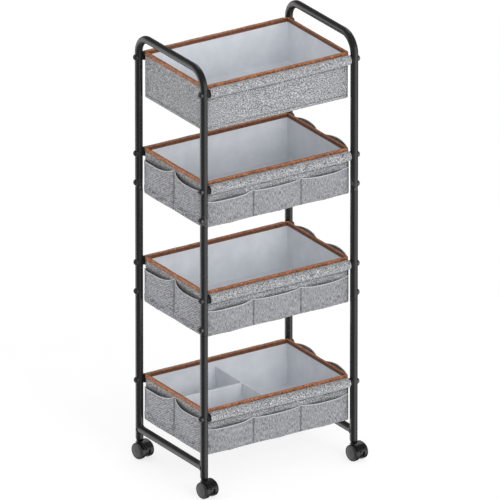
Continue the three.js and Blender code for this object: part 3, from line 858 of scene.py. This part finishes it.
def stitches(path, normals, lift):
    """Rows of short thread stitches along a dense path, each one a pod that stands on the cloth."""
    distance = np.concatenate([[0], np.cumsum(np.linalg.norm(np.diff(path, axis=0), axis=1))])
    count = max(1, int(distance[-1] / STITCH_PITCH))
    parts = []
    for place in (np.arange(count) + 0.5) * distance[-1] / count:
        behind, before = [between(place + step, distance, path) for step in (-MM, MM)]
        forward = unit(before - behind)
        normal = between(place, distance, normals)
        normal = unit(normal - forward * np.dot(normal, forward))
        section = circle(full_turn(5), normal, np.cross(forward, normal))
        rings = []
        for share, width in STITCH_SHAPE:
            bow = lift - 2.2 * THREAD_R * (2 * share) ** 2
            centre = (behind + before) / 2 + forward * share * STITCH_LENGTH + normal * bow
            rings.append(centre + width * THREAD_R * section)
        parts.append(skin(rings, wrap_rows=False))
    return parts


def cord(path, radius, sides=8):
    """A round cord along an open path of world points, with closed ends."""
    tangent = unit(np.gradient(path, axis=0))
    first = unit(np.cross(tangent, UP + 0.01 * ALONG_X))
    rings = rings_about(path, first, np.cross(tangent, first), radius, sides)
    ends = [path[None, at : at + 1].repeat(sides, 1) for at in (0, len(path) - 1)]
    return skin(np.concatenate([ends[0], rings, ends[1]]), wrap_rows=False)


# ------------------------------------------------------------------ the bins' walls
def outline(pitch):
    """Points and outward normals round the bin's outside, seen from above, with rounded corners."""
    inner = np.array((BIN_HALF_X - CORNER_R, BIN_HALF_Y - CORNER_R))
    quarters = ((1, -1, -90), (1, 1, 0), (-1, 1, 90), (-1, -1, 180))
    corners = [(inner * signs, turn) for *signs, turn in quarters]
    points, normals = [], []
    for (corner, turn), (following, _) in zip(corners, corners[1:] + corners[:1]):
        for t in np.radians(turn + np.linspace(0, 90, 7)):
            normals.append(np.array((math.cos(t), math.sin(t))))
            points.append(corner + CORNER_R * normals[-1])
        start, end = points[-1], following + CORNER_R * normals[-1]
        steps = int(np.linalg.norm(end - start) / pitch)
        for share in np.linspace(0, 1, steps + 1)[1:-1]:
            points.append(start + (end - start) * share)
            normals.append(normals[-1])
    return np.array(points), np.array(normals)


OUTLINE, OUTLINE_NORMALS = outline(OUTLINE_PITCH)
FINE_OUTLINE = outline(3 * MM)


def wall_bow(z, tier):
    """How far the soft walls sway in at a height: most at each wall's middle, nothing at the corners."""
    free = math.sin(math.pi * min(1, max(0, (3 * MM - z) / (3 * MM - BIN_BOTTOM))))
    across = 1 - (OUTLINE / (BIN_HALF_X, BIN_HALF_Y)) ** 2
    middle_share = np.where(np.abs(OUTLINE_NORMALS[:, 0]) > 0.5, across[:, 1], across[:, 0])
    wave = lumps(at_height(OUTLINE, z), (22, 22, 18), tier * 9.1)
    return -free * middle_share * (0.7 * MM + 0.5 * MM * wave)


def ring(tier, offset, z, shrink=0.0, bow=True, ripples=0.0):
    """One ring of the bin's outline in world space. Shrink pulls it evenly towards the middle."""
    share = 1 - shrink / np.array((BIN_HALF_X, BIN_HALF_Y))
    out = offset + (wall_bow(z, tier) if bow else 0)
    if ripples:
        out = out + ripples * lumps(at_height(OUTLINE, z), (70, 70, 55), tier * 4.7)
    xy = OUTLINE * share + OUTLINE_NORMALS * np.reshape(out, (-1, 1))
    return at_height(xy + (CENTRE_X, CENTRE_Y), RAIL_Z[tier] + z)


def floor_rings(tier, edge, z, dip, shares):
    """Rings from a floor's edge to its middle, with a slight dip and a soft, uneven surface."""
    centre = np.array((CENTRE_X, CENTRE_Y, RAIL_Z[tier] + z))
    rings = []
    for share in shares:
        points = centre + (edge - centre) * (share, share, 0)
        points[:, 2] += (dip + 0.5 * MM * lumps(points, (30, 30, 0), tier * 5.3)) * (1 - share**6)
        rings.append(points)
    return rings


def pressed(z, line):
    """How deep a point lies in a line that is pressed into the felt at a height. The felt's colour darkens by
    the same share, as painted shade.
    """
    return math.exp(-(((z - line) / CREASE) ** 2))


def felt_shell(tier):
    """The outer felt: four walls and a floor, as one open box with a small radius at its foot.
    Its sewn lines are pressed in and darkened with painted shade: one round its foot, and one under each
    sleeve."""
    hem, under_flap = BIN_BOTTOM + FELT_HEM, SLEEVE_FOOT - 0.8 * MM
    steps = (-3, -1.5, -0.75, 0, 0.75, 1.5, 3)
    near = [line + step * CREASE for line in (hem, under_flap) for step in steps]
    even = np.linspace(-3 * MM, BIN_BOTTOM + FELT_FOOT_R, 14)
    heights = sorted([12 * MM, 8 * MM, 4 * MM, *even, *near], reverse=True)
    beside_sleeve = (np.abs(OUTLINE_NORMALS[:, 1]) > 0.9) * (np.abs(OUTLINE[:, 0]) < SLEEVE_HALF)
    dent_and_shade = np.array([
        np.maximum(pressed(z, hem), beside_sleeve * pressed(z, under_flap)) for z in heights
    ])
    outside = [ring(tier, -0.5 * MM * crease, z) for crease, z in zip(dent_and_shade, heights)]
    for t in np.linspace(0, math.pi / 2, 5)[1:]:
        z = BIN_BOTTOM + FELT_FOOT_R * (1 - math.sin(t))
        outside.append(ring(tier, 0, z, shrink=FELT_FOOT_R * (1 - math.cos(t)), bow=False))
    shares = np.linspace(0.97, 0, 12)
    under = floor_rings(tier, outside[-1], BIN_BOTTOM, -0.1 * MM, shares)
    inside_foot = ring(tier, -FELT, BIN_BOTTOM + FELT + 0.6 * MM, shrink=FELT_FOOT_R * 0.5, bow=False)
    over = floor_rings(tier, inside_foot, BIN_BOTTOM + FELT, -0.1 * MM, shares[::-1])
    inside = [ring(tier, -FELT, z) for z in reversed(heights)]
    rings = [*outside, *under, *over, inside_foot, *inside]
    weave = np.zeros((len(rings), len(OUTLINE), 3))
    # the pressed lines' shares also darken the felt, as painted shade
    weave[: len(heights), :, 2] = dent_and_shade
    weave = weave.reshape(-1, 3)
    piece(f"bin_{tier}_felt_shell", [skin(rings)], FELT_CLOTH, weave=weave, node=f"bin_{tier}")
    stitched = OUTLINE_NORMALS[:, 1] > 0.9 if tier > 1 else np.full(len(OUTLINE), True)
    rows = stitches(ring(tier, 0, hem)[stitched], at_height(OUTLINE_NORMALS, 0)[stitched], -0.25 * MM)
    piece(f"bin_{tier}_hem_stitches", rows, GREY_THREAD)


def lining_inset(z):
    """How far the padded lining leans in at a height."""
    return WALL_LEAN * np.clip((8 * MM - z) / (8 * MM - BIN_BOTTOM), 0, 1)


def lining_bag(tier):
    """The inner bag: smooth cloth that leans in towards the floor, with soft folds at its foot."""
    floor_z = BIN_BOTTOM + FLOOR
    heights = [12.2 * MM, 8 * MM, 4 * MM, *np.linspace(-2 * MM, floor_z + LINING_FOOT_R, 15)]
    face = -(FELT + LINER)
    inside = []
    for z in heights:
        ripples = 0.35 * MM * smooth((2 * MM - z) / (30 * MM))
        inside.append(ring(tier, face, z, shrink=lining_inset(z), ripples=ripples))
    for t in np.linspace(0, math.pi / 2, 6)[1:]:
        z = floor_z + LINING_FOOT_R * (1 - math.sin(t))
        drawn = lining_inset(z) + LINING_FOOT_R * (1 - math.cos(t))
        inside.append(ring(tier, face, z, shrink=drawn, ripples=0.35 * MM))
    shares = np.linspace(0.97, 0, 16)
    over = floor_rings(tier, inside[-1], floor_z, 0.0, shares)
    under_edge = ring(tier, -FELT, floor_z - LINER, shrink=WALL_LEAN)
    under = floor_rings(tier, under_edge, floor_z - LINER, 0.0, shares[::-1])
    outside = [ring(tier, -FELT, z, shrink=0.9 * lining_inset(z)) for z in reversed(heights)]
    piece(f"bin_{tier}_lining", [skin([*inside, *over, *under, under_edge, *outside])], LINING)


def binding(tier):
    """A folded strip that straddles the top edges of the felt and the lining all the way round."""
    inner = BINDING_PROUD - RIM_WIDTH
    foot, top, t = RIM_TOP - RIM_HEIGHT, RIM_TOP, BINDING_SKIN
    section = softened([
        (BINDING_PROUD, foot, 0.4 * MM), (BINDING_PROUD, top, 1.9 * MM), (inner, top, 1.9 * MM),
        (inner, foot, 0.4 * MM), (inner + t, foot, 0.3 * MM), (inner + t, top - t, 0.5 * MM),
        (BINDING_PROUD - t, top - t, 0.5 * MM), (BINDING_PROUD - t, foot, 0.3 * MM),
    ])
    points, normals = FINE_OUTLINE
    rings, weave = [], []
    for offset, z in section:
        pucker = lumps(at_height(points, z), (110, 110, 150), tier * 3.3)
        swell = lumps(at_height(points, z), (25, 25, 20), tier * 7.1)
        visible = offset > BINDING_PROUD - t / 2 or offset < inner + t / 2 or z > top - t / 2
        moved = (0.16 * MM * pucker + 0.3 * MM * swell) * visible
        away = 1 if offset > (BINDING_PROUD + inner) / 2 else -1
        xy = points + normals * (offset + away * moved[:, None])
        height = z + (0.14 * MM * pucker + 0.25 * MM * swell) * (z > top - 2.2 * MM)
        rings.append(np.column_stack([xy + (CENTRE_X, CENTRE_Y), RAIL_Z[tier] + height]))
        # painted shade: the inner face is marked to be drawn darker
        inner_face_shade = float(offset < inner + t / 2 and z < top - 1.2 * MM)
        weave.append(np.tile((0, 0, inner_face_shade), (len(points), 1)))
    weave = np.concatenate(weave)
    piece(f"bin_{tier}_binding", [skin(rings)], BINDING, sharp=60, weave=weave, node=f"bin_{tier}_rim")
    rows = []
    for offset, sign in ((BINDING_PROUD + 0.05 * MM, 1), (inner - 0.05 * MM, -1)):
        xy = points + normals * offset + (CENTRE_X, CENTRE_Y)
        path = at_height(xy, RAIL_Z[tier] + foot + BINDING_STITCH)
        facing = at_height(normals * sign, 0)
        rows += stitches(np.vstack([path, path[:1]]), np.vstack([facing, facing[:1]]), 0.12 * MM)
    piece(f"bin_{tier}_binding_stitches", rows, BROWN_THREAD)


def sleeve_path():
    """The sleeve's middle line and outward normals, square to the rail, as (out of the wall, up)."""
    reach = POST_Y["back"] - CENTRE_Y - BIN_HALF_Y
    radius = SLEEVE_R - FELT / 2
    turns = np.radians(np.linspace(150, -118, 34))
    arc = np.column_stack([reach + radius * np.cos(turns), radius * np.sin(turns)])
    hang = FELT / 2 + 0.1 * MM
    fold = curve(arc[-1], np.array((hang, -6.4 * MM)), np.array((hang, -10.4 * MM)), 7)[1:]
    flange = [(hang, z) for z in np.linspace(-11.5 * MM, SLEEVE_FOOT, 4)]
    path = np.vstack([arc, fold, flange])
    along = np.gradient(path, axis=0)
    return path, unit(np.column_stack([-along[:, 1], along[:, 0]]))


def sleeve(tier, wall):
    """The felt loop that a rail runs through, from under the binding over the rail and back to the wall.
    Returns its stitches."""
    path, normals = sleeve_path()
    thick = np.full(len(path), FELT / 2)
    thick[:4] = np.linspace(0.25, 0.85, 4) * FELT / 2
    thick[-1] = 0.3 * FELT / 2
    half = SLEEVE_HALF
    stations = [
        -half, -half + 0.6 * MM, *np.linspace(-half + 3 * MM, half - 3 * MM, 84), half - 0.6 * MM, half
    ]
    skins = []
    for sign in (1, -1):
        rows = []
        for x in stations:
            worn = 0.25 * MM if abs(x) > half - 0.1 * MM else 0.0
            offset = sign * (thick - worn)
            if sign > 0:
                uneven = lumps(np.column_stack([np.full(len(path), x), path]), (38, 60, 60), tier * 2.9)
                offset = offset + np.clip(uneven * 0.45 * MM, -0.3 * MM, 0.3 * MM)
            rows.append(np.column_stack([np.full(len(path), x), path + normals * offset[:, None]]))
        skins.append(on_wall(wall, tier, np.array(rows)))
    piece(f"bin_{tier}_{wall}_sleeve", [slab(*skins)], FELT_CLOTH, sharp=50)
    xs = np.linspace(-half + 1 * MM, half - 1 * MM, 160)
    row = at_height(at_height(xs, FELT + 0.1 * MM), SLEEVE_STITCH)
    return stitches(on_wall(wall, tier, row), np.tile(WALLS[wall][1], (len(xs), 1)), 0.1 * MM)


# ------------------------------------------------------------------ pockets
def pocket_grid(length, pockets):
    """A strip of sewn pockets before it drapes: a grid of (along, out, up), and shares along each pocket."""
    count = pockets["count"]
    steps = int(round(length / count / POCKET_PITCH))
    share = np.append(np.tile(np.linspace(0, 1, steps + 1)[:-1], count), 1.0)
    along = np.linspace(-length / 2, length / 2, count * steps + 1)
    arch_share = np.sin(math.pi * share)
    top = pockets["top"] - pockets["sag"] * arch_share**0.6
    at = np.arange(len(share))
    for key, half in (("start_drop", at < steps / 2), ("end_drop", at > (count - 0.5) * steps)):
        top -= pockets[key] * (1 - arch_share**0.6) * half
    foot = BIN_BOTTOM + POCKET_FOOT
    up = np.linspace(0, 1, POCKET_ROWS + 1) ** 0.9
    z = foot + np.outer(top - foot, up)
    fullness = POCKET_FOOT_SHARE + (1 - POCKET_FOOT_SHARE) * (1 - (1 - up) ** 1.9)
    out = CLOTH_OFF_WALL + np.outer(arch_share ** pockets["boxy"] * pockets["bulge"], fullness)
    return np.stack([np.broadcast_to(along[:, None], z.shape), out, z], -1), share


def draped(grid, share):
    """Lets the strip settle as cloth, held at its seams and foot, and returns how far each point moved."""
    rows, columns = grid.shape[:2]
    mesh = bpy.data.meshes.new("drape")
    mesh.from_pydata(grid.reshape(-1, 3).tolist(), [], grid_faces(rows, columns))
    sheet = bpy.data.objects.new("drape", mesh)
    scene = bpy.context.scene
    scene.collection.objects.link(sheet)
    held = np.zeros((rows, columns), bool)
    held[:, 0] = True
    held[(share == 0) | (share == 1)] = True
    sheet.vertex_groups.new(name="held").add(np.flatnonzero(held.ravel()).tolist(), 1.0, "REPLACE")
    cloth = sheet.modifiers.new("Cloth", "CLOTH")
    for key, value in DRAPE.items():
        setattr(cloth.settings, key, value)
    cloth.point_cache.frame_end = DRAPE_FRAMES
    for step in range(1, DRAPE_FRAMES + 1):
        scene.frame_set(step)
    settled = sheet.evaluated_get(bpy.context.evaluated_depsgraph_get())
    places = np.zeros(rows * columns * 3)
    settled.data.vertices.foreach_get("co", places)
    moved = places.reshape(grid.shape) - grid
    scene.frame_set(1)
    bpy.data.objects.remove(sheet)
    far = np.linalg.norm(moved, axis=-1, keepdims=True)
    return moved * np.minimum(1, DRAPE_CAP / np.maximum(far, 1e-9))


def pocket_strip(half_width, pockets):
    """The draped middle surface of a wall's strip of pockets."""
    grid, share = pocket_grid(2 * (half_width - POCKET_EDGE), pockets)
    grid = grid + draped(grid, share)
    grid[..., 1] = np.maximum(grid[..., 1], CLOTH_OFF_WALL)
    return grid, share


def pockets_on(tier, wall, strip, material):
    """Pockets on one wall: the cloth, its folded hem with a piped edge, and the seams' stitches."""
    grid, share = strip
    if wall == "right":
        grid, share = grid[::-1] * (-1, 1, 1), share[::-1]
    seam = (share == 0) | (share == 1)
    seams = np.flatnonzero(seam)
    uneven = lumps(grid[..., (0, 2, 1)].reshape(-1, 3), (40, 30, 12), tier * 6.1).reshape(grid.shape[:2])
    grid = grid.copy()
    grid[..., 1] += 0.7 * MM * uneven * np.outer(~seam, np.linspace(0, 1, grid.shape[1]))
    normals = unit(np.cross(np.gradient(grid, axis=0), np.gradient(grid, axis=1)))
    normals *= np.sign(normals[..., 1:2])
    hem = smooth((HEM - (grid[:, -1:, 2] - grid[..., 2])) / (0.6 * MM)) * 0.35 * MM
    edges = np.ones(grid.shape[1])
    edges[[0, -1]] = 0.45
    half = normals * (CLOTH / 2 + hem[..., None] / 2) * edges[None, :, None]
    outer, inner = grid + half, grid - half
    inner[..., 1] = np.maximum(inner[..., 1], 0.1 * MM)
    # painted shade along the seams, darkest between pockets
    seam_shade = np.zeros(grid.shape[:2])
    for index in seams:
        depth = END_SEAM_SHADE if index in (seams[0], seams[-1]) else 1.0
        aside = (grid[..., 0] - grid[index, :, 0]) / SEAM_SHADE_WIDTH
        seam_shade = np.maximum(seam_shade, depth * np.exp(-(aside**2)))
    weave = np.stack([grid[..., 0] + 0.31 * tier, grid[..., 2], seam_shade], -1)
    weave = np.concatenate([weave, weave[:, ::-1]], 1).reshape(-1, 3)
    name = f"bin_{tier}_{wall}_pockets"
    sheet = slab(on_wall(wall, tier, outer), on_wall(wall, tier, inner))
    piece(name, [sheet], material, sharp=50, weave=weave)
    piece(f"{name}_piping", [cord(on_wall(wall, tier, grid[:, -1] + (0, 0, 0.25 * MM)), PIPING_R)], PIPING)

    def sewn(line, lift):
        return stitches(on_wall(wall, tier, line), np.tile(WALLS[wall][1], (len(line), 1)), lift)

    rows = []
    for index in seams:
        line = outer[index].copy()
        if index in (seams[0], seams[-1]):
            line[:, 0] -= END_STITCH_INSET * np.sign(line[0, 0])
        rows += sewn(line, 0.25 * MM)
    rows += sewn(outer[:, 1], 0.2 * MM)
    hem_line, hem_normal = [], []
    for column, normal in zip(outer, normals):
        z = grid[len(hem_line), -1, 2] - HEM + HEM_STITCH
        hem_line.append(between(z, column[:, 2], column))
        hem_normal.append(between(z, column[:, 2], normal))
    hem_path = on_wall(wall, tier, np.array(hem_line))
    hem_rows = stitches(hem_path, turned(wall, np.array(hem_normal)), 0.15 * MM)
    piece(f"{name}_seam_stitches", rows, DARK_THREAD)
    piece(f"{name}_hem_stitches", hem_rows, GREY_THREAD)


def partition(name, seed, ends_at, cross):
    """A stiff partition covered in lining cloth. ends_at gives its two ends at a height; cross places it."""
    foot, top, half = BIN_BOTTOM + FLOOR - 0.3 * MM, DIVIDER_TOP, DIVIDER_HALF
    rims = [(top, 0.0), (top - 0.12 * half, 0.55), (top - 0.5 * half, 0.88), (top - half, 1.0)]
    levels = rims + [(z, 1.0) for z in np.linspace(top - 4 * MM, foot, 12)]
    rows = {1: [], -1: []}
    for share in np.linspace(0, 1, 44):
        for sign in rows:
            line = []
            for z, width in levels:
                start, end = ends_at(z)
                along = start + (end - start) * share
                wave = 0.8 * MM * lumps([(along, z, 0)], (16, 14, 0), seed)[0]
                line.append(cross(along, wave + sign * half * width, z))
            rows[sign].append(line)
    piece(name, [slab(np.array(rows[1]), np.array(rows[-1]))], LINING, sharp=50)


def partitions(tier):
    """Two partitions that meet in a T: one from front to back, one from the left wall to the first."""
    def at(x, y, z):
        return (CENTRE_X + x, CENTRE_Y + y, RAIL_Z[tier] + z)

    def reach(half, z):
        return half - FELT - LINER - lining_inset(z) + 0.4 * MM

    partition(
        f"bin_{tier}_long_partition", 34.0, lambda z: (-reach(BIN_HALF_Y, z), reach(BIN_HALF_Y, z)),
        lambda y, x, z: at(DIVIDER_X + x, y, z),
    )
    partition(
        f"bin_{tier}_short_partition", 35.7, lambda z: (-reach(BIN_HALF_X, z), DIVIDER_X - DIVIDER_HALF),
        lambda x, y, z: at(x, DIVIDER_Y + y, z),
    )


def fabric_bins():
    strips = {
        "front": (pocket_strip(BIN_HALF_X, FRONT_POCKETS), FRONT_CLOTH),
        "left": (pocket_strip(BIN_HALF_Y, LEFT_POCKETS), SIDE_CLOTH),
        "right": (pocket_strip(BIN_HALF_Y, RIGHT_POCKETS), SIDE_CLOTH),
    }
    for tier in TIERS:
        felt_shell(tier)
        lining_bag(tier)
        binding(tier)
        rows = [part for wall in ("front", "back") for part in sleeve(tier, wall)]
        piece(f"bin_{tier}_sleeve_stitches", rows, GREY_THREAD)
        if tier > 1:
            for wall, (strip, material) in strips.items():
                pockets_on(tier, wall, strip, material)
    partitions(TIERS[-1])


# ------------------------------------------------------------------ stage
def floor():
    """A plain pale floor."""
    mesh = bpy.data.meshes.new("floor")
    corners = [(x * FLOOR_HALF, y * FLOOR_HALF, 0) for x, y in ((-1, -1), (1, -1), (1, 1), (-1, 1))]
    mesh.from_pydata(corners, [], [(0, 1, 2, 3)])
    s = Shader("floor_white")
    colour = s.ramp(s.noise(s.place(), 3.0), (0.3, grey(0.34)), (0.7, grey(0.36)))
    mesh.materials.append(s.surface(
        base_color=colour, roughness=1.0, specular_ior_level=0.0, emission_color=(1.0, 1.0, 1.0),
        emission_strength=FLOOR_GLOW,
    ))
    made = bpy.data.objects.new("floor", mesh)
    bpy.context.scene.collection.objects.link(made)
    made.visible_glossy = False


def studio():
    """A white room. Glossy surfaces see a dark room with soft bright strips round it."""
    s = Shader("studio", "worlds")
    bpy.context.scene.world = s.owner
    x, y, z = s.node("SeparateXYZ", s.node("TexCoord", out="Generated")).node.outputs
    heading = s.math("ARCTAN2", x, s.times(y, -1.0))
    turn = s.math("WRAP", s.math("SUBTRACT", heading, CAMERA_AZIMUTH), math.pi, -math.pi)
    rise = s.math("ARCSINE", z)

    def band(centre, half, soft, strength):
        """A bright strip at an azimuth in degrees from the camera's."""
        away = s.math("ABSOLUTE", s.math("SUBTRACT", turn, math.radians(centre)))
        return s.spread(away, math.radians(half), math.radians(half + soft), strength, 0.0)

    def climb(low, high, to_low, to_high):
        """A value that changes between two elevations in degrees."""
        return s.spread(rise, math.radians(low), math.radians(high), to_low, to_high)

    strips = s.plus(
        band(centre=60, half=28, soft=24, strength=1.6), band(centre=-112, half=24, soft=16, strength=1.9)
    )
    low = s.times(s.times(strips, climb(8, 24, 1.0, 0.05)), climb(-48, -26, 0.25, 1.0))
    rim = s.times(band(centre=180, half=34, soft=14, strength=1.3), climb(14, 22, 0.0, 1.0))
    behind = s.spread(s.math("ABSOLUTE", turn), math.radians(115), math.radians(145), 0.16, 0.03)
    base = s.math("MAXIMUM", behind, s.times(climb(-8, 6, 0.0, 1.0), 0.16))
    shiny = s.plus(s.plus(low, rim), base)
    rays = s.node("LightPath").node.outputs
    lit = s.choose(rays["Is Glossy Ray"], climb(-10, 80, 1.0, 0.9), shiny)
    s.node("OutputWorld", s.node("Background", {"Strength": s.choose(rays["Is Camera Ray"], lit, BACKDROP)}))


def aimed(name, data, azimuth, rise, distance):
    """A camera or a light that looks at the cart's middle from a distance."""
    level = math.cos(rise)
    toward = np.array((math.sin(azimuth) * level, -math.cos(azimuth) * level, math.sin(rise)))
    made = bpy.data.objects.new(name, data)
    made.location = AIM + distance * toward
    made.rotation_euler = Vector(-toward).to_track_quat("-Z", "Y").to_euler()
    bpy.context.scene.collection.objects.link(made)
    return made


def key_light(azimuth, elevation, distance, size, power):
    """A soft square light, with its azimuth in degrees measured from the camera's."""
    data = bpy.data.lights.new("key", "AREA")
    data.shape = "SQUARE"
    data.size = size
    data.energy = power
    made = aimed("key", data, CAMERA_AZIMUTH + math.radians(azimuth), math.radians(elevation), distance)
    made.visible_glossy = False


def camera():
    data = bpy.data.cameras.new("camera")
    data.lens = CAMERA_LENS
    data.sensor_width = 36
    data.clip_end = 100
    bpy.context.scene.camera = aimed("camera", data, CAMERA_AZIMUTH, CAMERA_RISE, CAMERA_DISTANCE)


tube_frame()
for end_name in ENDS:
    for side_name in SIDES:
        caster(end_name, side_name)
fabric_bins()
floor()
studio()
key_light(azimuth=36, elevation=22, distance=3.0, size=1.4, power=30)
camera()
view_settings = bpy.context.scene.view_settings
view_settings.view_transform = "Standard"
view_settings.look = "None"
